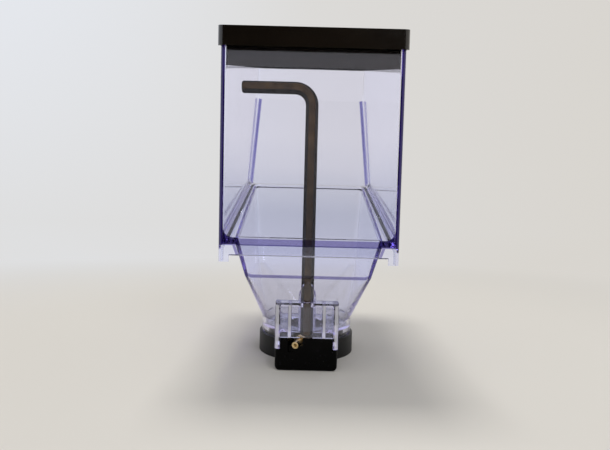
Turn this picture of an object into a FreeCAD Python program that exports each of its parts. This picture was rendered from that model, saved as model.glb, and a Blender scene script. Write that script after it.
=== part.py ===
import FreeCAD
import Part
import math
import os

# Clear bean hopper with a sloping floor, a lift-off lid and a slide gate in its neck.
# Millimetres. +Z is up along the neck, +Y runs to the back, and the origin is the centre
# of the collar's underside.

# Bin: a vertical prism, cut by a rim and a floor that both rise towards the back
WALL = 2.2
FRONT_Y = -47.0
REAR_Y = 122.0
RIM_WIDTH = 99.4
RIM_FRONT_Z = 181.0
LIP_WIDTH = 96.6
LIP_Z = 66.3
SLOPE_DEG = 19.5
FLOOR_THICKNESS = 3.2
FLOOR_REAR_Y = 68.0
KINK_Z = 192.0
CORNER_RADIUS = 2.4
INNER_CORNER_RADIUS = 0.8
FLOOR_CORNER_RADIUS = 5.4

# Skirt that carries on below the floor, with a foot at each front corner
SKIRT_WALL = 1.5
SKIRT_DROP = 5.4
FOOT_WIDTH = 5.8
FOOT_DROP = 3.4
FOOT_DEPTH = 9.0

# Funnel: a mouth in the floor, a waist below it, and the round neck
FUNNEL_WALL = 2.0
FUNNEL_FRONT_Y = -45.4
MOUTH_FRONT_WIDTH = 80.4
MOUTH_REAR_WIDTH = 86.5
MOUTH_REAR_Y = 67.0
WAIST_Z = 50.0
WAIST_FRONT_WIDTH = 68.0
WAIST_REAR_WIDTH = 73.0
WAIST_REAR_Y = 41.5
FUNNEL_FRONT_RADIUS = 2.6
FUNNEL_REAR_RADIUS = 6.0
FUNNEL_END_Z = 21.0
NECK_RADIUS = 28.0
WEB_THICKNESS = 2.0
OUTLET_WIDTH = 22.0
OUTLET_LENGTH = 38.0

# Collar that closes the foot of the neck and plugs into the grinder
COLLAR_RADIUS = 29.3
COLLAR_HEIGHT = 11.6
COLLAR_WALL = 3.0
COLLAR_LIP = 1.8
COLLAR_BORE_RADIUS = 22.9
SPIGOT_WALL = 2.4
COLLAR_FIT = 0.1
RAIL_WIDTH = 2.6
RAIL_HEIGHT = 2.2

# Guide box in front of the neck, with two ribs and the boss that leads the key
GUIDE_WIDTH = 34.0
GUIDE_WALL = 2.7
GUIDE_FRONT_Y = -46.4
GUIDE_FRONT_WALL = 2.2
GUIDE_TOP_Z = 36.4
GUIDE_ROOF = 2.4
GUIDE_SILL_Z = 17.9
GUIDE_EDGE_RADIUS = 1.6
RIB_OFFSET = 9.2
RIB_THICKNESS = 1.8
BOSS_RADIUS = 4.8
BOSS_FOOT_Z = 20.5
KEY_FIT = 0.3

# Slide gate: a finger block in front and a plate that shuts the outlet
GATE_FIT = 0.3
BLOCK_FOOT_Z = 0.4
BLOCK_FRONT_Y = -45.2
BLOCK_DEPTH = 14.2
BLOCK_EDGE_RADIUS = 2.4
PLATE_THICKNESS = 2.6
PLATE_REAR_Y = 23.2
FINGER_GROOVE_RADIUS = 3.2
FINGER_GROOVE_DEPTH = 1.1

# Brass lock screw, lying in a pocket in the top of the block
SCREW_HEAD_RADIUS = 3.5
SCREW_HEAD_LENGTH = 4.4
SCREW_FACE_RADIUS = 2.3
SCREW_TAPER_LENGTH = 2.0
SCREW_SHANK_RADIUS = 1.8
SCREW_LENGTH = 12.6
SCREW_SOCKET_FLATS = 3.0
SCREW_SOCKET_DEPTH = 2.0
SCREW_YAW_DEG = 17.0
SCREW_TAIL_X = -6.0
SCREW_FIT = 0.25
SCREW_CUP_RADIUS = 0.9
SCREW_CUP_DEPTH = 1.2

# Hex key that stands in the bin with its tip over the lock screw
KEY_FLATS = 6.0
KEY_Y = -38.2
KEY_LENGTH = 138.4
KEY_ARM = 41.6
KEY_BEND_RADIUS = 9.5
KEY_CHAMFER = 0.8
KEY_TIP_GAP = 0.3

# Lid: a sloping plate with an outer skirt and a locating rim inside the bin
LID_THICKNESS = 2.0
LID_SKIRT_WALL = 1.3
LID_SKIRT_DROP = 8.8
LID_FIT = 0.35
LID_RIM_WALL = 1.5
LID_RIM_DROP = 19.6
LID_PANEL_DEPTH = 0.8
LID_PANEL_INSET = 3.5

# Tolerances for picking edges by their place and for calling a face flat
NEAR = 0.1
FLAT = 0.001

SLOPE = math.tan(math.radians(SLOPE_DEG))
RIM_REAR_Z = RIM_FRONT_Z + (REAR_Y - FRONT_Y) * SLOPE
# Longer than the bin any way, for forms that run past it
REACH = RIM_REAR_Z + REAR_Y - FRONT_Y
FLOOR_REAR_Z = LIP_Z + (FLOOR_REAR_Y - FRONT_Y) * SLOPE
SIDE_DRAFT = (RIM_WIDTH - LIP_WIDTH) / 2 / (RIM_FRONT_Z - LIP_Z)
SPIGOT_RADIUS = COLLAR_RADIUS - COLLAR_WALL
SPIGOT_BORE_RADIUS = SPIGOT_RADIUS - SPIGOT_WALL
GUIDE_FOOT_Z = COLLAR_HEIGHT + GATE_FIT
PLATE_FOOT_Z = GUIDE_FOOT_Z + GATE_FIT
WEB_Z = PLATE_FOOT_Z + PLATE_THICKNESS + GATE_FIT
GUIDE_INNER = GUIDE_WIDTH / 2 - GUIDE_WALL
BLOCK_TOP_Z = GUIDE_SILL_Z - 2 * GATE_FIT
BLOCK_REAR_Y = BLOCK_FRONT_Y + BLOCK_DEPTH
SLIDE_HALF = GUIDE_INNER - GATE_FIT
KEY_BORE_RADIUS = KEY_FLATS / math.sqrt(3) + KEY_FIT


def vec(x, y, z):
    return FreeCAD.Vector(x, y, z)


def box(x0, x1, y0, y1, z0, z1):
    """A box between two opposite corners."""
    return Part.makeBox(x1 - x0, y1 - y0, z1 - z0, vec(x0, y0, z0))


def rod(radius, x, y, z0, z1):
    """An upright round bar."""
    return Part.makeCylinder(radius, z1 - z0, vec(x, y, z0))


def side_slab(points, half_width):
    """A prism across the object from a side outline of (y, z) points."""
    loop = [vec(-half_width, y, z) for y, z in points]
    face = Part.Face(Part.makePolygon(loop + loop[:1]))
    return face.extrude(vec(2 * half_width, 0, 0))


def corner_arcs(corners, radii):
    """Start, crown and end of the arc that rounds each corner of a flat loop."""
    arcs = []
    for index, (corner, radius) in enumerate(zip(corners, radii)):
        before = (corners[index - 1] - corner).normalize()
        after = (corners[(index + 1) % len(corners)] - corner).normalize()
        half_turn = before.getAngle(after) / 2
        setback = radius / math.tan(half_turn)
        crown = (before + after).normalize() * (radius / math.sin(half_turn) - radius)
        arcs.append((corner + before * setback, corner + crown, corner + after * setback))
    return arcs


def rounded_loop(arcs):
    """A closed wire through corner arcs, with straight lines where they don't touch."""
    edges = []
    for index, arc in enumerate(arcs):
        edges.append(Part.Arc(*arc).toShape())
        following = arcs[(index + 1) % len(arcs)][0]
        if arc[2].distanceToPoint(following) > NEAR:
            edges.append(Part.makeLine(arc[2], following))
    return Part.Wire(edges)


def half_width_at(z):
    """Half the bin's outer width at a height."""
    return RIM_WIDTH / 2 - (RIM_FRONT_Z - z) * SIDE_DRAFT


def bin_prism(inset):
    """The bin's upright form with drafted sides, smaller all round by the inset."""
    low = half_width_at(0) - inset
    high = half_width_at(REACH) - inset
    y0 = FRONT_Y + inset
    loop = [vec(-low, y0, 0), vec(low, y0, 0), vec(high, y0, REACH), vec(-high, y0, REACH)]
    body = Part.Face(Part.makePolygon(loop + loop[:1])).extrude(vec(0, REAR_Y - inset - y0, 0))
    upright = [e for e in body.Edges if e.BoundBox.ZLength > REACH / 2]
    return body.makeFillet(max(CORNER_RADIUS - inset, INNER_CORNER_RADIUS), upright)


def meet(first, second):
    """Where two lines meet in the side view, each a point and a direction."""
    (ay, az), (au, av) = first
    (by, bz), (bu, bv) = second
    across = au * bv - av * bu
    along = ((by - ay) * bv - (bz - az) * bu) / across
    return (ay + along * au, az + along * av)


def side_outline(inset, floor_inset, rim_z):
    """The bin's side outline, moved in from its outer faces, closed above at the rim's slope."""
    rear_run = REAR_Y - FLOOR_REAR_Y
    rear_rise = KINK_Z - FLOOR_REAR_Z
    rear_length = math.hypot(rear_run, rear_rise)
    lean = (rear_run / rear_length, rear_rise / rear_length)
    floor_lift = floor_inset / math.cos(math.radians(SLOPE_DEG))
    front = ((FRONT_Y + inset, 0.0), (0.0, 1.0))
    floor = ((FRONT_Y, LIP_Z + floor_lift), (1.0, SLOPE))
    rear = ((FLOOR_REAR_Y - inset * lean[1], FLOOR_REAR_Z + inset * lean[0]), lean)
    back = ((REAR_Y - inset, 0.0), (0.0, 1.0))
    rim = ((FRONT_Y, rim_z), (1.0, SLOPE))
    lines = [front, floor, rear, back, rim]
    return [meet(lines[i - 1], lines[i]) for i in range(len(lines))]


def trough(start, direction, inset, radius):
    """A long form along a side-view direction, with rounded corners where it meets the bin's sides."""
    length = math.hypot(*direction)
    dy, dz = direction[0] / length, direction[1] / length
    up = vec(0, -dz, dy) * REACH
    origin = vec(0, start[0], start[1]) - vec(0, dy, dz) * REACH / 2

    def side_form(side):
        foot = origin + vec(side * (half_width_at(origin.z) - inset), 0, 0)
        head = origin + up + vec(side * (half_width_at(origin.z + up.z) - inset), 0, 0)
        far = vec(-side * REACH, 0, 0)
        loop = [foot, head, origin + up + far, origin + far]
        way = vec(side * SIDE_DRAFT * dz, dy, dz) * REACH * 2
        form = Part.Face(Part.makePolygon(loop + loop[:1])).extrude(way)
        middle = Part.Vertex(foot + way / 2)
        corner = [e for e in form.Edges if e.distToShape(middle)[0] < NEAR]
        return form.makeFillet(radius, corner)

    return side_form(1).common(side_form(-1))


def bin_body(inset, floor_inset, rim_z, floor_radius, rear_radius):
    """The bin as a solid: prism, side outline, and rounded floor and rear corners."""
    outline = side_outline(inset, floor_inset, rim_z)
    body = bin_prism(inset).common(side_slab(outline, REACH / 2))
    floor_front, floor_rear, kink = outline[1], outline[2], outline[3]
    rear_way = (kink[0] - floor_rear[0], kink[1] - floor_rear[1])
    if floor_radius > 0:
        body = body.common(trough(floor_front, (1.0, SLOPE), inset, floor_radius))
    return body.common(trough(floor_rear, rear_way, inset, rear_radius))


def bin_outer():
    return bin_body(0.0, 0.0, RIM_FRONT_Z, 0.0, FLOOR_CORNER_RADIUS + WALL)


def bin_cavity():
    above_rim = RIM_FRONT_Z + 2 * WALL
    return bin_body(WALL, FLOOR_THICKNESS, above_rim, FLOOR_CORNER_RADIUS, FLOOR_CORNER_RADIUS)


def skirt():
    """The thin skirt below the floor along the front and both sides, with two front feet."""
    ring = bin_prism(0.0).cut(bin_prism(SKIRT_WALL))
    floor_mid = LIP_Z + FLOOR_THICKNESS / 2
    rise = (FLOOR_REAR_Y - FRONT_Y) * SLOPE
    band = [
        (FRONT_Y, floor_mid),
        (FLOOR_REAR_Y, floor_mid + rise),
        (FLOOR_REAR_Y, LIP_Z - SKIRT_DROP + rise),
        (FRONT_Y, LIP_Z - SKIRT_DROP),
    ]
    parts = [ring.common(side_slab(band, REACH / 2))]
    half = half_width_at(LIP_Z)
    foot_z = LIP_Z - SKIRT_DROP - FOOT_DROP
    for side in (-1, 1):
        inner, outer = sorted((side * (half - FOOT_WIDTH), side * (half + WALL)))
        foot = box(inner, outer, FRONT_Y, FRONT_Y + FOOT_DEPTH, foot_z, floor_mid)
        parts.append(ring.common(foot))
    return parts


def funnel_sections(inset):
    """Corner arcs of the funnel's mouth, waist and neck, smaller all round by the inset."""
    front_radius = FUNNEL_FRONT_RADIUS - inset
    rear_radius = FUNNEL_REAR_RADIUS - inset
    radii = [front_radius, front_radius, rear_radius, rear_radius]

    def loop(front_half, spread, front_y, rear_y, height):
        y0 = front_y + inset
        y1 = rear_y - inset
        side = inset * math.hypot(1, spread)
        front = front_half + inset * spread - side
        rear = front + (y1 - y0) * spread
        return [vec(-front, y0, height(y0)), vec(front, y0, height(y0)),
                vec(rear, y1, height(y1)), vec(-rear, y1, height(y1))]

    def on_floor(y):
        lift = FLOOR_THICKNESS / 2 if inset == 0 else FLOOR_THICKNESS / math.cos(math.radians(SLOPE_DEG))
        return LIP_Z + lift + (y - FRONT_Y) * SLOPE

    mouth_spread = (MOUTH_REAR_WIDTH - MOUTH_FRONT_WIDTH) / 2 / (MOUTH_REAR_Y - FUNNEL_FRONT_Y)
    mouth = loop(MOUTH_FRONT_WIDTH / 2, mouth_spread, FUNNEL_FRONT_Y, MOUTH_REAR_Y, on_floor)
    waist_spread = (WAIST_REAR_WIDTH - WAIST_FRONT_WIDTH) / 2 / (WAIST_REAR_Y - FUNNEL_FRONT_Y)
    waist = loop(WAIST_FRONT_WIDTH / 2, waist_spread, FUNNEL_FRONT_Y, WAIST_REAR_Y, lambda y: WAIST_Z)
    # Square to the waist's sides, so that the neck's circle turns with the waist's corners
    neck_front = NECK_RADIUS * (math.hypot(1, waist_spread) - waist_spread)
    neck = loop(neck_front, waist_spread, -NECK_RADIUS, NECK_RADIUS, lambda y: FUNNEL_END_Z)
    neck_radii = [NECK_RADIUS - inset] * len(neck)
    return [corner_arcs(mouth, radii), corner_arcs(waist, radii), corner_arcs(neck, neck_radii)]


def ruled_form(low, high):
    """A ruled solid between two loops, its flat strips as true planes."""
    faces = []
    for face in Part.makeLoft([low, high], True, True).Faces:
        plane = face.findPlane(FLAT)
        faces.append(Part.Face(plane, face.OuterWire) if plane else face)
    return Part.Solid(Part.Shell(faces))


def waist_to_neck(waist, neck):
    """The solid from the waist to the neck's circle: a flat triangle a side, a ruled patch a corner."""
    faces = [Part.Face(rounded_loop(waist)), Part.Face(rounded_loop(neck))]
    for index, (high, low) in enumerate(zip(waist, neck)):
        faces.append(Part.makeRuledSurface(Part.Arc(*high).toShape(), Part.Arc(*low).toShape()))
        side = [high[2], waist[(index + 1) % len(waist)][0], low[2]]
        faces.append(Part.Face(Part.makePolygon(side + side[:1])))
    return Part.Solid(Part.Shell(faces))


def funnel_form(inset):
    mouth, waist, neck = funnel_sections(inset)
    return ruled_form(rounded_loop(mouth), rounded_loop(waist)).fuse(waist_to_neck(waist, neck))


def stadium(width, length, z0, z1):
    """An upright slot with round ends, long way along Y."""
    radius = width / 2
    run = length / 2 - radius
    slot = box(-radius, radius, -run, run, z0, z1)
    return slot.fuse([rod(radius, 0, -run, z0, z1), rod(radius, 0, run, z0, z1)])


def neck_form():
    """The neck's outside: the round neck, and the spigot inside the collar."""
    neck = rod(NECK_RADIUS, 0, 0, COLLAR_HEIGHT, FUNNEL_END_Z)
    return neck.fuse(rod(SPIGOT_RADIUS, 0, 0, COLLAR_LIP + COLLAR_FIT, COLLAR_HEIGHT))


def neck_voids():
    """The neck's bore above and below the web, the outlet and the gate's slot."""
    inner = NECK_RADIUS - FUNNEL_WALL
    above = rod(inner, 0, 0, WEB_Z + WEB_THICKNESS, FUNNEL_END_Z)
    below = rod(SPIGOT_BORE_RADIUS, 0, 0, 0, WEB_Z)
    outlet = stadium(OUTLET_WIDTH, OUTLET_LENGTH, WEB_Z, WEB_Z + WEB_THICKNESS)
    slot_half = SLIDE_HALF + GATE_FIT
    slot = box(-slot_half, slot_half, FRONT_Y, PLATE_REAR_Y + GATE_FIT, PLATE_FOOT_Z - GATE_FIT, WEB_Z)
    return [above, below, outlet, slot]


def gate_rails():
    """Two rails under the gate plate, across the spigot's bore."""
    bore = rod(SPIGOT_RADIUS - SPIGOT_WALL / 2, 0, 0, 0, WEB_Z)
    top = PLATE_FOOT_Z - GATE_FIT
    rails = []
    for side in (-1, 1):
        inner, outer = sorted((side * (SLIDE_HALF - RAIL_WIDTH / 2), side * (SLIDE_HALF + RAIL_WIDTH / 2)))
        rail = box(inner, outer, -NECK_RADIUS, NECK_RADIUS, top - RAIL_HEIGHT, top)
        rails.append(rail.common(bore))
    return rails


def guide_box(outer_funnel):
    """The open box in front of the neck that the gate slides through."""
    half = GUIDE_WIDTH / 2
    block = box(-half, half, GUIDE_FRONT_Y, 0, GUIDE_FOOT_Z, GUIDE_TOP_Z)
    upright = [e for e in block.Edges
               if e.BoundBox.YMax < GUIDE_FRONT_Y + NEAR and e.BoundBox.ZLength > NEAR]
    block = block.makeFillet(GUIDE_EDGE_RADIUS, upright)
    hollow = box(-GUIDE_INNER, GUIDE_INNER, GUIDE_FRONT_Y + GUIDE_FRONT_WALL, 0, 0,
                 GUIDE_TOP_Z - GUIDE_ROOF)
    hollow = hollow.cut(outer_funnel).cut(neck_form())
    window = box(-GUIDE_INNER, GUIDE_INNER, FRONT_Y - WALL, GUIDE_FRONT_Y + 2 * GUIDE_FRONT_WALL,
                 0, GUIDE_SILL_Z)
    return block.cut([hollow, window])


def guide_ribs():
    """Two upright ribs inside the guide box and the round boss that leads the key."""
    top = GUIDE_TOP_Z - GUIDE_ROOF / 2
    front = GUIDE_FRONT_Y + GUIDE_FRONT_WALL / 2
    parts = []
    for side in (-1, 1):
        middle = side * RIB_OFFSET
        rib = box(middle - RIB_THICKNESS / 2, middle + RIB_THICKNESS / 2,
                  front, -NECK_RADIUS + FUNNEL_WALL / 2, GUIDE_SILL_Z, top)
        parts.append(rib)
    parts.append(rod(BOSS_RADIUS, 0, KEY_Y, BOSS_FOOT_Z, WAIST_Z))
    return parts


def bin_shell():
    """The clear moulding: bin, skirt, funnel, neck and guide box in one piece."""
    outer_funnel = funnel_form(0.0)
    inner_funnel = funnel_form(FUNNEL_WALL)
    body = bin_outer().fuse(skirt() + [outer_funnel, neck_form(), guide_box(outer_funnel)])
    body = body.fuse(guide_ribs())
    body = body.cut([bin_cavity(), inner_funnel] + neck_voids())
    key_bore = rod(KEY_BORE_RADIUS, 0, KEY_Y, BOSS_FOOT_Z - KEY_FIT, WAIST_Z)
    body = body.cut(key_bore).fuse(gate_rails())
    return body.removeSplitter()


def lid():
    """The lid: sloping plate, outer skirt round the bin and locating rim inside it."""
    outer = bin_prism(-(LID_FIT + LID_SKIRT_WALL))
    clear = bin_prism(-LID_FIT)
    rim_outer = bin_prism(WALL + LID_FIT)
    rim_inner = bin_prism(WALL + LID_FIT + LID_RIM_WALL)
    y0 = FRONT_Y - 2 * (LID_FIT + LID_SKIRT_WALL)
    y1 = REAR_Y + 2 * (LID_FIT + LID_SKIRT_WALL)

    def layer(low, high):
        start = RIM_FRONT_Z + (y0 - FRONT_Y) * SLOPE
        end = RIM_FRONT_Z + (y1 - FRONT_Y) * SLOPE
        return side_slab([(y0, start + low), (y1, end + low), (y1, end + high), (y0, start + high)],
                         REACH / 2)

    top = outer.common(layer(0.0, LID_THICKNESS))
    skirt_ring = outer.cut(clear).common(layer(-LID_SKIRT_DROP, LID_THICKNESS / 2))
    rim_ring = rim_outer.cut(rim_inner).common(layer(-LID_RIM_DROP, LID_THICKNESS / 2))
    panel = bin_prism(LID_PANEL_INSET).common(layer(LID_THICKNESS - LID_PANEL_DEPTH, 2 * LID_THICKNESS))
    return top.fuse([skirt_ring, rim_ring]).cut(panel).removeSplitter()


def collar():
    """The collar: a ring that seats on the neck's spigot, with an inner lip below."""
    ring = rod(COLLAR_RADIUS, 0, 0, 0, COLLAR_HEIGHT)
    seat = rod(SPIGOT_RADIUS + COLLAR_FIT, 0, 0, COLLAR_LIP, COLLAR_HEIGHT)
    bore = rod(COLLAR_BORE_RADIUS, 0, 0, 0, COLLAR_HEIGHT)
    return ring.cut([seat, bore])


def screw_frame():
    """The lock screw's tail point and the direction from tail to head."""
    yaw = math.radians(SCREW_YAW_DEG)
    direction = vec(math.sin(yaw), math.cos(yaw), 0)
    height = BLOCK_TOP_Z - SCREW_FIT - SCREW_HEAD_RADIUS
    return vec(SCREW_TAIL_X, BLOCK_FRONT_Y, height), direction


def lock_screw():
    """The brass screw: tapered head with a hex socket, shank and cup point."""
    tail, direction = screw_frame()
    shank_length = SCREW_LENGTH - SCREW_HEAD_LENGTH
    straight = SCREW_HEAD_LENGTH - SCREW_TAPER_LENGTH
    shank = Part.makeCylinder(SCREW_SHANK_RADIUS, shank_length + straight, tail, direction)
    neck = tail + direction * shank_length
    head = Part.makeCylinder(SCREW_HEAD_RADIUS, straight, neck, direction)
    taper = Part.makeCone(SCREW_HEAD_RADIUS, SCREW_FACE_RADIUS, SCREW_TAPER_LENGTH,
                          neck + direction * straight, direction)
    body = shank.fuse([head, taper])
    socket_start = tail + direction * (SCREW_LENGTH - SCREW_SOCKET_DEPTH)
    socket = hexagon(SCREW_SOCKET_FLATS, socket_start, direction).extrude(direction * SCREW_LENGTH)
    cup = Part.makeCone(SCREW_CUP_RADIUS, 0, SCREW_CUP_DEPTH, tail, direction)
    return body.cut([socket, cup])


def screw_pocket():
    """The pocket that the lock screw lies in, open above and in front."""
    tail, direction = screw_frame()
    across = vec(direction.y, -direction.x, 0)
    deep = SCREW_HEAD_RADIUS + SCREW_FIT
    start = tail - direction * SCREW_LENGTH - across * deep - vec(0, 0, deep)
    end = SCREW_LENGTH * 2 + SCREW_FIT
    corners = [start, start + across * 2 * deep, start + across * 2 * deep + direction * end,
               start + direction * end]
    face = Part.Face(Part.makePolygon(corners + corners[:1]))
    return face.extrude(vec(0, 0, 3 * deep))


def screw_cradle():
    """Raised seat under the shank, so that the screw lies level in its pocket."""
    tail, direction = screw_frame()
    across = vec(direction.y, -direction.x, 0)
    width = SCREW_HEAD_RADIUS + SCREW_FIT
    drop = SCREW_HEAD_RADIUS + 2 * SCREW_FIT
    start = tail - across * width - vec(0, 0, drop)
    run = SCREW_LENGTH - SCREW_HEAD_LENGTH - SCREW_FIT
    corners = [start, start + across * 2 * width, start + across * 2 * width + direction * run,
               start + direction * run]
    face = Part.Face(Part.makePolygon(corners + corners[:1]))
    seat = face.extrude(vec(0, 0, drop - SCREW_FIT))
    groove = Part.makeCylinder(SCREW_SHANK_RADIUS + SCREW_FIT, SCREW_LENGTH * 2,
                               tail - direction * SCREW_LENGTH, direction)
    return seat.cut(groove)


def gate_slide():
    """The gate: stepped finger block, plate with a round nose, and the screw's pocket."""
    half = GUIDE_WIDTH / 2 - GATE_FIT / 2
    shoulder = GUIDE_FOOT_Z - GATE_FIT
    lower = box(-half, half, BLOCK_FRONT_Y, BLOCK_REAR_Y, BLOCK_FOOT_Z, shoulder)
    edges = [e for e in lower.Edges if e.BoundBox.ZMax < BLOCK_FOOT_Z + NEAR and e.BoundBox.YLength > NEAR]
    edges += [e for e in lower.Edges if e.BoundBox.YMax < BLOCK_FRONT_Y + NEAR and e.BoundBox.ZLength > NEAR]
    lower = lower.makeFillet(BLOCK_EDGE_RADIUS, edges)
    upper = box(-SLIDE_HALF, SLIDE_HALF, BLOCK_FRONT_Y, BLOCK_REAR_Y, shoulder / 2, BLOCK_TOP_Z)
    envelope = box(-half, half, BLOCK_FRONT_Y, BLOCK_REAR_Y, BLOCK_FOOT_Z, BLOCK_TOP_Z)
    body = lower.fuse(upper).cut(screw_pocket()).fuse(screw_cradle().common(envelope))
    groove_z = BLOCK_FOOT_Z
    groove_y = BLOCK_FRONT_Y + BLOCK_DEPTH / 2
    groove = Part.makeCylinder(FINGER_GROOVE_RADIUS, 2 * half,
                               vec(-half, groove_y, groove_z + FINGER_GROOVE_DEPTH - FINGER_GROOVE_RADIUS),
                               vec(1, 0, 0))
    body = body.cut(groove)
    return body.fuse(gate_plate()).removeSplitter()


def gate_plate():
    nose = SLIDE_HALF
    straight = PLATE_REAR_Y - nose
    top = PLATE_FOOT_Z + PLATE_THICKNESS
    plate = box(-SLIDE_HALF, SLIDE_HALF, BLOCK_REAR_Y - GATE_FIT, straight, PLATE_FOOT_Z, top)
    return plate.fuse(rod(nose, 0, straight, PLATE_FOOT_Z, top))


def hexagon(flats, centre, direction):
    """A hexagonal face across a direction, with one flat pair along the object's width."""
    corner = flats / math.sqrt(3)
    side = vec(0, 0, 1) if abs(direction.z) < 0.5 else vec(1, 0, 0)
    other = direction.cross(side)
    points = []
    for step in range(6):
        turn = math.radians(60 * step)
        points.append(centre + side * (corner * math.cos(turn)) + other * (corner * math.sin(turn)))
    return Part.Face(Part.makePolygon(points + points[:1]))


def hex_key():
    """The L-shaped hex key: long arm upright, short arm to the left."""
    foot = BLOCK_TOP_Z + KEY_TIP_GAP
    bend_z = foot + KEY_LENGTH - KEY_FLATS / 2 - KEY_BEND_RADIUS
    reach = KEY_ARM - KEY_FLATS / 2 - KEY_BEND_RADIUS
    elbow = vec(-KEY_BEND_RADIUS, KEY_Y, bend_z + KEY_BEND_RADIUS)
    long_arm = hex_arm(vec(0, KEY_Y, foot), vec(0, 0, 1), bend_z - foot)
    short_arm = hex_arm(elbow + vec(-reach, 0, 0), vec(1, 0, 0), reach)
    section = hexagon(KEY_FLATS, vec(0, KEY_Y, bend_z), vec(0, 0, 1))
    bend = section.revolve(vec(-KEY_BEND_RADIUS, KEY_Y, bend_z), vec(0, 1, 0), -90)
    return long_arm.fuse([bend, short_arm]).removeSplitter()


def hex_arm(end, direction, length):
    """A straight hexagonal arm whose far corners are broken at its free end."""
    corner = KEY_FLATS / math.sqrt(3)
    arm = hexagon(KEY_FLATS, end, direction).extrude(direction * length)
    cone = Part.makeCone(corner - KEY_CHAMFER, corner - KEY_CHAMFER + length, length, end, direction)
    return arm.common(cone)


NODES = {
    "bin_shell": bin_shell,
    "lid": lid,
    "collar": collar,
    "gate_slide": gate_slide,
    "lock_screw": lock_screw,
    "hex_key": hex_key,
}

os.makedirs("parts", exist_ok=True)
for name, make in NODES.items():
    shape = make()
    solids = shape.Solids
    print(name, "solids", len(solids), "valid", shape.isValid(), "volume", round(shape.Volume, 1))
    if len(solids) == 1:
        shape = solids[0]
    shape.exportStep(os.path.join("parts", name + ".step"))
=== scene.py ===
import math

import bpy
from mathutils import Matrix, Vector


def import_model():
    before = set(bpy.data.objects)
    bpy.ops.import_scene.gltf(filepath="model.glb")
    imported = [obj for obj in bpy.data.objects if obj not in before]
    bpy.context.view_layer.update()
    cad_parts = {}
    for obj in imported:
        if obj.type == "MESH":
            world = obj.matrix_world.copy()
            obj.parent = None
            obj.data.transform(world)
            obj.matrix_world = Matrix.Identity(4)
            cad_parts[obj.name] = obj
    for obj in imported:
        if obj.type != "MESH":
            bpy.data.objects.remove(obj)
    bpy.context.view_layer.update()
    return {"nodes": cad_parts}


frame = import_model()

# Measures are in metres and colours are linear, unless a line says otherwise.

# Camera, fitted to the photograph in the part's own frame (pixels, mm and degrees)
FRAME_WIDTH = 610
FOCAL_PIXELS = 430
SENSOR_WIDTH = 36.0
CAMERA_PLACE = (-0.0023, -0.275, 0.078)
CAMERA_ROLL = 1.45
CAMERA_NEAR = 0.01

# Stage
FLOOR_RADIUS = 6.0
FLOOR_SIDES = 96
FLOOR_FADE = (0.14, 0.75)
FLOOR_COLOUR = (0.650, 0.622, 0.572, 1.0)
PALE_LEFT = (0.735, 0.738, 0.745, 1.0)
PALE_RIGHT = (0.690, 0.665, 0.625, 1.0)
PALE_HIGH = (0.85, 0.90, 1.0, 1.0)
SWEEP_ACROSS = (-0.6, 0.6)
SWEEP_UP = (0.0, 0.5)
WORLD_COLOUR = (0.97, 0.98, 1.0, 1.0)
WORLD_LIGHT = 0.58
DARK_CARD_HALF = 0.9
DARK_CARD_SPAN = (-0.4, 1.2)
DARK_CARD_Y = -0.95
DARK_CARD_COLOUR = (0.004, 0.004, 0.004, 1.0)
OVERHEAD = {"place": (-0.05, 0.24, 1.15), "target": (0.0, 0.0, 0.06),
            "size": 0.20, "power": 6.5, "colour": (1.0, 0.99, 0.97)}
FRONT_FILL = {"place": (0.35, -0.65, 0.75), "target": (0.0, 0.0, 0.10),
              "size": 0.35, "power": 1.6, "colour": (0.96, 0.97, 1.0)}

# How many surfaces a ray may cross, enough for the nested clear walls
CLEAR_BOUNCES = 48

# Edge rounding that the CAD leaves out, on edges sharper than the angle (degrees)
EDGE_BEVEL = 0.0004
LID_BEVEL = 0.0010
BEVEL_SEGMENTS = 2
BEVEL_ANGLE = 40

# Where painted violet shade and painted highlights lie on the clear moulding's edges, in its own
# coordinates
EDGE_LINE = 0.0016
FRONT_DEPTH = -0.0430
LIP_LOW = 0.0663
LIP_HIGH = 0.0699
TROUGH_Z = 0.0492
TROUGH_HALF = 0.0342
TROUGH_LEAN = 0.38
TROUGH_CORNER = 0.0050
REAR_HALF = 0.0468
REAR_DEPTH = 0.0045
REAR_LINE = 0.0034
SIDE_LEAN = 0.0122
SIDE_INNER_HALF = 0.0453
SIDE_DEPTH = -0.0455
GUIDE_REAR = -0.0320

# The leaning rear wall's plane, as a (y, z) point and normal
REAR_POINT = (0.0680, 0.1070)
REAR_NORMAL = (0.844, -0.536)

# Ranges given as a middle and a half width
REAR_SPAN = (0.1500, 0.0420)
GUIDE_WALL = (0.0158, 0.0009)
GUIDE_RIB = (0.0092, 0.0007)
GUIDE_SPAN = (0.0236, 0.0116)

# Clear moulding: its faint violet, with painted shade deepening it from the walls down to the
# funnel, and the painted shade and highlights of its edges
CLEAR_ROUGHNESS = 0.03
CLEAR_IOR = 1.49
CLEAR_SHADOW = (0.88, 0.87, 0.93, 1.0)
ABSORBED_TO = (0.20, 0.06, 0.68, 1.0)
ABSORPTION = 12.0
RIPPLE = {"strength": 0.05, "depth": 0.0004}
TINT_SPAN = (0.045, 0.125)
# painted shade: the funnel's and floor's tints are darker than the walls' own faint violet
FUNNEL_TINT_WITH_SHADE = (0.84, 0.85, 0.935, 1.0)
FLOOR_TINT_WITH_SHADE = (0.79, 0.81, 0.875, 1.0)
WALL_TINT = (0.960, 0.962, 0.985, 1.0)
# painted shade: deep violet on the front edges, where light crosses the plastic's whole depth
EDGE_PAINTED_SHADE = (0.34, 0.32, 0.56, 1.0)
# painted shade: violet lines where the rear wall's corners are seen through the plastic's depth
REAR_PAINTED_SHADE = (0.17, 0.16, 0.46, 1.0)
# painted shade: nearly opaque dark violet on the side walls' front ends
SIDE_PAINTED_SHADE = (0.018, 0.008, 0.120, 1.0)
SIDE_SHADE_OPACITY = 0.95
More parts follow.
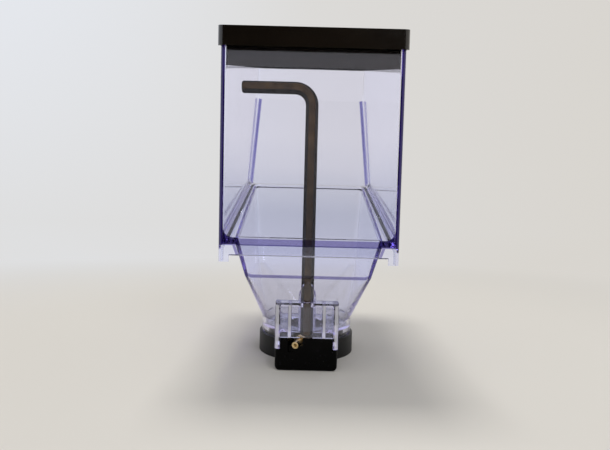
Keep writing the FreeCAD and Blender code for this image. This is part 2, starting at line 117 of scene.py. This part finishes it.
# painted highlight: pale, partly opaque colour on the guide box's walls and ribs
GUIDE_PAINTED_HIGHLIGHT = (0.92, 0.91, 0.98, 1.0)
GUIDE_HIGHLIGHT_SHARE = 0.55
# painted light: the background seen through the clear plastic is brighter and bluer than seen
# directly
SEEN_THROUGH_BRIGHTER = (1.13, 1.14, 1.22, 1.0)

# Opaque pieces: two tones, range of roughness and fine relief
PLASTIC_IOR = 1.5
LID_TONES = ((0.006, 0.0042, 0.0028, 1.0), (0.012, 0.0085, 0.0055, 1.0))
LID_ROUGHNESS = (0.10, 0.20)
LID_PEEL = {"strength": 0.06, "depth": 0.0002}
COLLAR_LOOK = {"tone": 0.006, "gloss": 0.24, "roughness": (0.38, 0.55),
               "grain": 900.0, "grain_strength": 0.12}
GATE_LOOK = {"tone": 0.0014, "gloss": 0.06, "roughness": (0.14, 0.26),
             "grain": 500.0, "grain_strength": 0.04}
GRAIN_DEPTH = 0.0002
BRASS_TONES = ((0.68, 0.49, 0.22, 1.0), (0.95, 0.78, 0.48, 1.0))
BRASS_ROUGHNESS = (0.18, 0.36)
BRASS_TOOL_MARKS = {"strength": 0.15, "depth": 0.0001}
# painted highlight on the flats facing front and back; dark oxide with painted shade on the side
# facets
KEY_FLAT_HIGHLIGHT = ((0.043, 0.024, 0.009, 1.0), (0.098, 0.057, 0.024, 1.0))
KEY_OXIDE_SIDE_SHADE = ((0.005, 0.003, 0.0015, 1.0), (0.014, 0.008, 0.004, 1.0))
KEY_ROUGHNESS = (0.26, 0.48)
KEY_DRAW_LINES = (1400.0, 1400.0, 40.0)
KEY_RELIEF = {"strength": 0.12, "depth": 0.0001}
KEY_FLAT = 0.8


def node_tree(material):
    """The material's emptied node tree, with an output node."""
    material.use_nodes = True
    tree = material.node_tree
    tree.nodes.clear()
    output = tree.nodes.new("ShaderNodeOutputMaterial")
    return tree, output


def principled(tree, **sockets):
    """A Principled shader with plain values on its own sockets."""
    shader = tree.nodes.new("ShaderNodeBsdfPrincipled")
    for name, value in sockets.items():
        shader.inputs[name.replace("_", " ")].default_value = value
    return shader


def calc(tree, operation, *values):
    """A Math node's result; each value is a number or another node's output."""
    node = tree.nodes.new("ShaderNodeMath")
    node.operation = operation
    for socket, value in zip(node.inputs, values):
        if isinstance(value, (int, float)):
            socket.default_value = value
        else:
            tree.links.new(value, socket)
    return node.outputs[0]


def remap(tree, source, before=(0.0, 1.0), after=(0.0, 1.0), kind="LINEAR"):
    """A source moved from one range to another."""
    node = tree.nodes.new("ShaderNodeMapRange")
    node.interpolation_type = kind
    node.inputs["From Min"].default_value, node.inputs["From Max"].default_value = before
    node.inputs["To Min"].default_value, node.inputs["To Max"].default_value = after
    tree.links.new(source, node.inputs["Value"])
    return node.outputs["Result"]


def object_noise(tree, scale, detail=3.0):
    """Noise laid out in the object's own coordinates."""
    place = tree.nodes.new("ShaderNodeTexCoord")
    noise = tree.nodes.new("ShaderNodeTexNoise")
    noise.inputs["Scale"].default_value = scale
    noise.inputs["Detail"].default_value = detail
    tree.links.new(place.outputs["Object"], noise.inputs["Vector"])
    return noise.outputs["Fac"]


def ramp(tree, source, low, high, tones, middle=None):
    """A colour ramp between two tones over part of a source's range."""
    node = tree.nodes.new("ShaderNodeValToRGB")
    first, last = node.color_ramp.elements
    first.position, last.position = low, high
    first.color, last.color = tones
    if middle:
        node.color_ramp.elements.new((low + high) / 2).color = middle
    tree.links.new(source, node.inputs["Fac"])
    return node.outputs["Color"]


def bump(tree, source, strength, depth):
    """A bump from a height source."""
    node = tree.nodes.new("ShaderNodeBump")
    node.inputs["Strength"].default_value = strength
    node.inputs["Distance"].default_value = depth
    tree.links.new(source, node.inputs["Height"])
    return node.outputs["Normal"]


def layered(tree, factor, under, over):
    """One colour over another by a factor; the upper one is plain or a node's output."""
    node = tree.nodes.new("ShaderNodeMix")
    node.data_type = "RGBA"
    tree.links.new(factor, node.inputs["Factor"])
    tree.links.new(under, node.inputs["A"])
    if isinstance(over, tuple):
        node.inputs["B"].default_value = over
    else:
        tree.links.new(over, node.inputs["B"])
    return node.outputs["Result"]


def blended(tree, factor, first, second):
    """A mix of two shaders by a factor."""
    mix = tree.nodes.new("ShaderNodeMixShader")
    tree.links.new(factor, mix.inputs["Fac"])
    tree.links.new(first.outputs[0], mix.inputs[1])
    tree.links.new(second.outputs[0], mix.inputs[2])
    return mix.outputs[0]


def covered(tree, output, shader, colour, roughness, normal):
    """Links a shader's uneven colour, roughness and relief, and the shader to the output."""
    tree.links.new(colour, shader.inputs["Base Color"])
    tree.links.new(roughness, shader.inputs["Roughness"])
    tree.links.new(normal, shader.inputs["Normal"])
    tree.links.new(shader.outputs[0], output.inputs["Surface"])


def seen_directly(tree):
    """1 for rays that show the background: camera, mirror and see-through rays."""
    path = tree.nodes.new("ShaderNodeLightPath")
    shown = calc(tree, "MAXIMUM", path.outputs["Is Camera Ray"], path.outputs["Is Glossy Ray"])
    return calc(tree, "MAXIMUM", shown, path.outputs["Is Transmission Ray"])


def object_place(tree):
    """The object's own coordinates: distance from the middle plane, depth and height."""
    place = tree.nodes.new("ShaderNodeTexCoord")
    parts = tree.nodes.new("ShaderNodeSeparateXYZ")
    tree.links.new(place.outputs["Object"], parts.inputs["Vector"])
    return calc(tree, "ABSOLUTE", parts.outputs["X"]), parts.outputs["Y"], parts.outputs["Z"]


def front_edge_shade(tree):
    """1 on the front's painted violet shade lines: the floor's lip and the trough's outline."""
    across, y, z = object_place(tree)
    lip = calc(tree, "COMPARE", z, (LIP_LOW + LIP_HIGH) / 2, (LIP_HIGH - LIP_LOW) / 2)

    half = calc(tree, "MULTIPLY_ADD", z, TROUGH_LEAN, TROUGH_HALF - TROUGH_Z * TROUGH_LEAN)
    right = calc(tree, "ADD", calc(tree, "SUBTRACT", across, half), TROUGH_CORNER)
    down = calc(tree, "SUBTRACT", TROUGH_Z + TROUGH_CORNER, z)
    squares = [calc(tree, "POWER", calc(tree, "MAXIMUM", side, 0.0), 2.0)
               for side in (right, down)]
    reach = calc(tree, "SQRT", calc(tree, "ADD", *squares))
    rim = calc(tree, "COMPARE", reach, TROUGH_CORNER - EDGE_LINE / 2, EDGE_LINE / 2)
    trough = calc(tree, "MULTIPLY", rim, calc(tree, "LESS_THAN", z, LIP_LOW))

    in_front = calc(tree, "LESS_THAN", y, FRONT_DEPTH)
    return calc(tree, "MULTIPLY", calc(tree, "MAXIMUM", lip, trough), in_front)


def rear_corner_shade(tree):
    """1 on the lines where the leaning rear wall meets the side walls, which carry painted violet
    shade.
    """
    across, y, z = object_place(tree)
    along_y = calc(tree, "MULTIPLY_ADD", y, REAR_NORMAL[0], -REAR_POINT[0] * REAR_NORMAL[0])
    along_z = calc(tree, "MULTIPLY_ADD", z, REAR_NORMAL[1], -REAR_POINT[1] * REAR_NORMAL[1])
    at_wall = calc(tree, "GREATER_THAN", calc(tree, "ADD", along_y, along_z), -REAR_DEPTH)
    line = calc(tree, "MULTIPLY", at_wall,
                calc(tree, "COMPARE", across, REAR_HALF, REAR_LINE / 2))
    return calc(tree, "MULTIPLY", line, calc(tree, "COMPARE", z, *REAR_SPAN))


def side_shade_bands(tree):
    """1 on the front ends of the bin's side walls, painted nearly opaque dark violet as shade for
    the whole depth of the wall.
    """
    across, y, z = object_place(tree)
    inner = calc(tree, "MULTIPLY_ADD", z, SIDE_LEAN, SIDE_INNER_HALF)
    band = calc(tree, "MULTIPLY", calc(tree, "GREATER_THAN", across, inner),
                calc(tree, "LESS_THAN", y, SIDE_DEPTH))
    return calc(tree, "MULTIPLY", band, calc(tree, "GREATER_THAN", z, LIP_LOW))


def guide_wall_highlights(tree):
    """1 on the guide box's side walls and ribs, where a pale painted highlight stands in for the
    light that runs along them.
    """
    across, y, z = object_place(tree)
    walls = calc(tree, "MAXIMUM", calc(tree, "COMPARE", across, *GUIDE_WALL),
                 calc(tree, "COMPARE", across, *GUIDE_RIB))
    level = calc(tree, "COMPARE", z, *GUIDE_SPAN)
    near = calc(tree, "LESS_THAN", y, GUIDE_REAR)
    return calc(tree, "MULTIPLY", walls, calc(tree, "MULTIPLY", level, near))


def tint_with_low_shade(tree):
    """The moulding's faint violet, with painted shade making it deepest at the floor and funnel
    and faint in the walls above.
    """
    height = remap(tree, object_place(tree)[2], TINT_SPAN)
    return ramp(tree, height, 0.0, 1.0, (FUNNEL_TINT_WITH_SHADE, WALL_TINT), FLOOR_TINT_WITH_SHADE)


def clear_violet():
    """Clear moulded plastic, faint violet, with painted violet shade on its edges and painted
    highlights on the guide box's walls.
    """
    material = bpy.data.materials.new("clear_violet_plastic")
    tree, output = node_tree(material)
    shader = principled(tree, Roughness=CLEAR_ROUGHNESS, IOR=CLEAR_IOR, Transmission_Weight=1.0)
    bands = side_shade_bands(tree)
    guide = guide_wall_highlights(tree)
    # painted violet shade on the front edges, rear corners and side walls' ends, and a painted
    # highlight on the guide walls, over the tint
    tint = layered(tree, front_edge_shade(tree), tint_with_low_shade(tree), EDGE_PAINTED_SHADE)
    tint = layered(tree, rear_corner_shade(tree), tint, REAR_PAINTED_SHADE)
    tint = layered(tree, bands, tint, SIDE_PAINTED_SHADE)
    tint = layered(tree, guide, tint, GUIDE_PAINTED_HIGHLIGHT)
    tree.links.new(tint, shader.inputs["Base Color"])
    # the painted side shade and the painted guide highlight let less light through
    clear = calc(tree, "MULTIPLY_ADD", bands, -SIDE_SHADE_OPACITY, 1.0)
    clear = calc(tree, "SUBTRACT", clear, calc(tree, "MULTIPLY", guide, GUIDE_HIGHLIGHT_SHARE))
    tree.links.new(clear, shader.inputs["Transmission Weight"])
    uneven = bump(tree, object_noise(tree, 60.0, 2.0), **RIPPLE)
    tree.links.new(uneven, shader.inputs["Normal"])

    shadow = tree.nodes.new("ShaderNodeBsdfTransparent")
    shadow.inputs["Color"].default_value = CLEAR_SHADOW
    path = tree.nodes.new("ShaderNodeLightPath")
    surface = blended(tree, path.outputs["Is Shadow Ray"], shader, shadow)
    tree.links.new(surface, output.inputs["Surface"])

    volume = tree.nodes.new("ShaderNodeVolumeAbsorption")
    volume.inputs["Color"].default_value = ABSORBED_TO
    volume.inputs["Density"].default_value = ABSORPTION
    tree.links.new(volume.outputs[0], output.inputs["Volume"])
    return material


def smoke_brown():
    """Dark smoke-brown gloss plastic with a faint orange-peel surface."""
    material = bpy.data.materials.new("smoke_brown_gloss")
    tree, output = node_tree(material)
    shader = principled(tree, IOR=PLASTIC_IOR, Coat_Weight=0.35, Coat_Roughness=0.04)
    tint = ramp(tree, object_noise(tree, 25.0), 0.3, 0.7, LID_TONES)
    rough = remap(tree, object_noise(tree, 180.0), after=LID_ROUGHNESS)
    peel = bump(tree, object_noise(tree, 420.0, 2.0), **LID_PEEL)
    covered(tree, output, shader, tint, rough, peel)
    return material


def black_plastic(name, tone, gloss, roughness, grain, grain_strength):
    """Black moulded plastic with fine grain and uneven roughness."""
    material = bpy.data.materials.new(name)
    tree, output = node_tree(material)
    shader = principled(tree, IOR=PLASTIC_IOR, Specular_IOR_Level=gloss)
    cloud = object_noise(tree, 90.0)
    dark = (tone * 0.8, tone * 0.8, tone * 0.82, 1.0)
    light = (tone * 1.3, tone * 1.3, tone * 1.33, 1.0)
    tint = ramp(tree, cloud, 0.3, 0.7, (dark, light))
    rough = remap(tree, cloud, after=roughness)
    texture = bump(tree, object_noise(tree, grain, 4.0), grain_strength, GRAIN_DEPTH)
    covered(tree, output, shader, tint, rough, texture)
    return material


def turned_brass():
    """Brass: warm metal with fine tool marks and dull patches."""
    material = bpy.data.materials.new("turned_brass")
    tree, output = node_tree(material)
    shader = principled(tree, Metallic=1.0)
    patch = object_noise(tree, 500.0)
    tint = ramp(tree, patch, 0.3, 0.75, BRASS_TONES)
    rough = remap(tree, patch, after=BRASS_ROUGHNESS)
    tool = bump(tree, object_noise(tree, 2600.0, 2.0), **BRASS_TOOL_MARKS)
    covered(tree, output, shader, tint, rough, tool)
    return material


def drawn_key_steel():
    """Bronze-black oxide with lengthwise draw lines; a painted warm highlight on the front and
    rear flats and painted shade on the side facets.
    """
    material = bpy.data.materials.new("drawn_key_steel")
    tree, output = node_tree(material)
    shader = principled(tree, Metallic=0.20, Specular_IOR_Level=0.02)
    place = tree.nodes.new("ShaderNodeTexCoord")
    facing = tree.nodes.new("ShaderNodeSeparateXYZ")
    tree.links.new(place.outputs["Normal"], facing.inputs["Vector"])
    # facets facing front and back get the painted highlight, the others the painted shade
    flat = calc(tree, "GREATER_THAN", calc(tree, "ABSOLUTE", facing.outputs["Y"]), KEY_FLAT)
    stretch = tree.nodes.new("ShaderNodeMapping")
    stretch.inputs["Scale"].default_value = KEY_DRAW_LINES
    tree.links.new(place.outputs["Object"], stretch.inputs["Vector"])
    noise = tree.nodes.new("ShaderNodeTexNoise")
    noise.inputs["Scale"].default_value = 1.0
    noise.inputs["Detail"].default_value = 3.0
    tree.links.new(stretch.outputs["Vector"], noise.inputs["Vector"])
    lines = noise.outputs["Fac"]
    flat_highlight = ramp(tree, object_noise(tree, 140.0), 0.32, 0.72, KEY_FLAT_HIGHLIGHT)
    oxide = ramp(tree, lines, 0.3, 0.7, KEY_OXIDE_SIDE_SHADE)
    rough = remap(tree, lines, after=KEY_ROUGHNESS)
    covered(tree, output, shader, layered(tree, flat, oxide, flat_highlight), rough,
            bump(tree, lines, **KEY_RELIEF))
    return material


def dress(node, material, bevel=0.0):
    """Gives a CAD node its material and, where asked for, broken edges."""
    piece = frame["nodes"][node]
    piece.data.materials.clear()
    piece.data.materials.append(material)
    if bevel > 0:
        edge = piece.modifiers.new("broken_edges", "BEVEL")
        edge.width = bevel
        edge.segments = BEVEL_SEGMENTS
        edge.limit_method = "ANGLE"
        edge.angle_limit = math.radians(BEVEL_ANGLE)


def pale_sweep(tree, place):
    """The background's colour: cool on the left and high up, warm on the right, and painted
    brighter and bluer where seen through the clear plastic.
    """
    unit = tree.nodes.new("ShaderNodeVectorMath")
    unit.operation = "NORMALIZE"
    tree.links.new(place, unit.inputs[0])
    parts = tree.nodes.new("ShaderNodeSeparateXYZ")
    tree.links.new(unit.outputs["Vector"], parts.inputs["Vector"])
    x, z = parts.outputs["X"], parts.outputs["Z"]
    level = ramp(tree, remap(tree, x, SWEEP_ACROSS), 0.0, 1.0, (PALE_LEFT, PALE_RIGHT))
    on_left = calc(tree, "LESS_THAN", x, 0.0)
    high = calc(tree, "MULTIPLY", remap(tree, z, SWEEP_UP), on_left)
    high = calc(tree, "MULTIPLY", high, calc(tree, "ABSOLUTE", x))
    # painted light: a brighter background for rays that pass through the clear plastic
    path = tree.nodes.new("ShaderNodeLightPath")
    brighter = tree.nodes.new("ShaderNodeMix")
    brighter.data_type = "RGBA"
    brighter.blend_type = "MULTIPLY"
    brighter.inputs["B"].default_value = SEEN_THROUGH_BRIGHTER
    tree.links.new(path.outputs["Is Transmission Ray"], brighter.inputs["Factor"])
    tree.links.new(layered(tree, high, level, PALE_HIGH), brighter.inputs["A"])
    return brighter.outputs["Result"]


def floor():
    """A pale floor that fades into the background far from the object."""
    bpy.ops.mesh.primitive_circle_add(vertices=FLOOR_SIDES, radius=FLOOR_RADIUS,
                                      fill_type="NGON", location=(0, 0, 0))
    ground = bpy.context.active_object
    ground.name = "floor"
    material = bpy.data.materials.new("pale_floor")
    tree, output = node_tree(material)
    matte = tree.nodes.new("ShaderNodeBsdfDiffuse")
    matte.inputs["Color"].default_value = FLOOR_COLOUR
    glow = tree.nodes.new("ShaderNodeEmission")
    place = tree.nodes.new("ShaderNodeTexCoord")
    tree.links.new(pale_sweep(tree, place.outputs["Object"]), glow.inputs["Color"])
    distance = tree.nodes.new("ShaderNodeVectorMath")
    distance.operation = "LENGTH"
    tree.links.new(place.outputs["Object"], distance.inputs[0])
    fade = remap(tree, distance.outputs["Value"], FLOOR_FADE, kind="SMOOTHSTEP")
    share = calc(tree, "MULTIPLY", fade, seen_directly(tree))
    tree.links.new(blended(tree, share, matte, glow), output.inputs["Surface"])
    ground.data.materials.append(material)


def world():
    """Even pale light, with a pale background for the rays that show it."""
    sky = bpy.data.worlds.new("studio")
    bpy.context.scene.world = sky
    sky.use_nodes = True
    tree = sky.node_tree
    tree.nodes.clear()
    output = tree.nodes.new("ShaderNodeOutputWorld")
    light = tree.nodes.new("ShaderNodeBackground")
    light.inputs["Color"].default_value = WORLD_COLOUR
    light.inputs["Strength"].default_value = WORLD_LIGHT
    shown = tree.nodes.new("ShaderNodeBackground")
    place = tree.nodes.new("ShaderNodeTexCoord")
    tree.links.new(pale_sweep(tree, place.outputs["Generated"]), shown.inputs["Color"])
    surface = blended(tree, seen_directly(tree), light, shown)
    tree.links.new(surface, output.inputs["Surface"])


def soft_lamp(name, place, target, size, power, colour):
    """A square area lamp aimed at a point."""
    data = bpy.data.lights.new(name, "AREA")
    data.size = size
    data.energy = power
    data.color = colour
    lamp = bpy.data.objects.new(name, data)
    bpy.context.collection.objects.link(lamp)
    lamp.location = place
    way = Vector(target) - Vector(place)
    lamp.rotation_euler = way.to_track_quat("-Z", "Y").to_euler()


def dark_card():
    """A black card behind the camera that only mirror-like rays see, as a dark room does."""
    low, high = DARK_CARD_SPAN
    corners = [(-DARK_CARD_HALF, DARK_CARD_Y, low), (DARK_CARD_HALF, DARK_CARD_Y, low),
               (DARK_CARD_HALF, DARK_CARD_Y, high), (-DARK_CARD_HALF, DARK_CARD_Y, high)]
    mesh = bpy.data.meshes.new("dark_card")
    mesh.from_pydata(corners, [], [(0, 1, 2, 3)])
    card = bpy.data.objects.new("dark_card", mesh)
    bpy.context.collection.objects.link(card)
    material = bpy.data.materials.new("black_card")
    tree, output = node_tree(material)
    black = tree.nodes.new("ShaderNodeBsdfDiffuse")
    black.inputs["Color"].default_value = DARK_CARD_COLOUR
    tree.links.new(black.outputs[0], output.inputs["Surface"])
    mesh.materials.append(material)
    card.visible_camera = False
    card.visible_diffuse = False
    card.visible_transmission = False
    card.visible_shadow = False


def camera():
    """The photograph's camera: level, straight at the front, with a slight roll."""
    data = bpy.data.cameras.new("photo_camera")
    data.sensor_fit = "HORIZONTAL"
    data.sensor_width = SENSOR_WIDTH
    data.lens = SENSOR_WIDTH * FOCAL_PIXELS / FRAME_WIDTH
    data.clip_start = CAMERA_NEAR
    view = bpy.data.objects.new("photo_camera", data)
    bpy.context.collection.objects.link(view)
    view.location = CAMERA_PLACE
    view.rotation_euler = (math.radians(90), math.radians(-CAMERA_ROLL), 0)
    bpy.context.scene.camera = view


camera()
world()
floor()
dark_card()
soft_lamp("overhead", **OVERHEAD)
soft_lamp("front_fill", **FRONT_FILL)

dress("bin_shell", clear_violet())
dress("lid", smoke_brown(), LID_BEVEL)
dress("collar", black_plastic("collar_satin_black", **COLLAR_LOOK), EDGE_BEVEL)
dress("gate_slide", black_plastic("gate_gloss_black", **GATE_LOOK), EDGE_BEVEL)
dress("lock_screw", turned_brass())
dress("hex_key", drawn_key_steel(), EDGE_BEVEL)

scene = bpy.context.scene
scene.view_settings.view_transform = "Standard"
scene.cycles.max_bounces = CLEAR_BOUNCES
scene.cycles.transmission_bounces = CLEAR_BOUNCES
scene.cycles.glossy_bounces = CLEAR_BOUNCES
scene.cycles.transparent_max_bounces = CLEAR_BOUNCES
